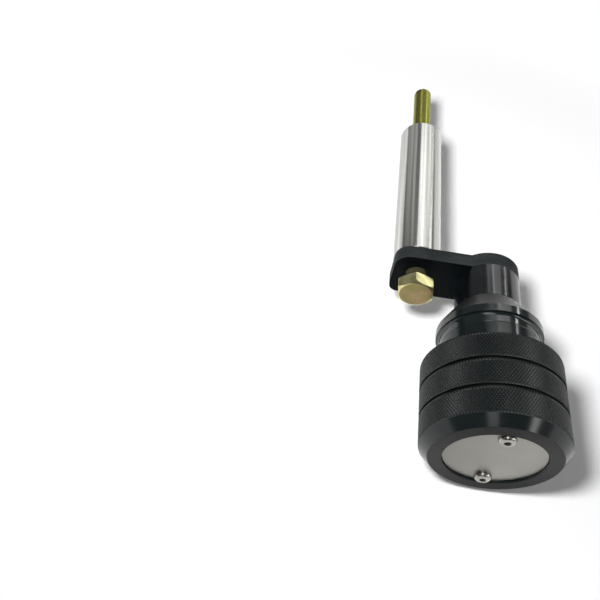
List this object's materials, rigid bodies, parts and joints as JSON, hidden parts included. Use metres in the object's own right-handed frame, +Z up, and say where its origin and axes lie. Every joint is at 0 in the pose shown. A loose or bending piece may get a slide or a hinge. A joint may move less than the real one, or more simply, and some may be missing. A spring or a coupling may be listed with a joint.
{
  "type": "motorcycle frame slider",
  "caption": "Knurled crash puck on an offset bracket, held off a motorcycle frame by a spacer tube and a long hexagon-head bolt.",
  "frame": {"origin": "centre of the spacer's seat on the motorcycle's frame, on the frame bolt's axis", "axes": "+Y along the frame bolt, into the motorcycle's frame, so the puck faces -Y; +X from the frame bolt towards the puck's axis; +Z up"},
  "size_m": [0.0748, 0.2378, 0.06],
  "materials": {
    "bright_aluminium": "drawn, bright",
    "yellow_zinc_steel": "yellow zinc plate, satin",
    "black_anodised": "black anodised, satin",
    "puck_plastic": "turned and knurled",
    "satin_plate": "satin",
    "bright_steel": "bright zinc plate",
    "black_steel": "black oxide"
  },
  "bodies": {
    "root": {"frame_spacer": "bright_aluminium", "frame_bolt": "yellow_zinc_steel", "bracket": "black_anodised", "collar": "black_anodised", "puck": "puck_plastic", "end_plate": "satin_plate", "end_plate_screws": "bright_steel", "puck_bolt_washer": "bright_steel", "puck_bolt": "black_steel"}
  },
  "joints": []
}
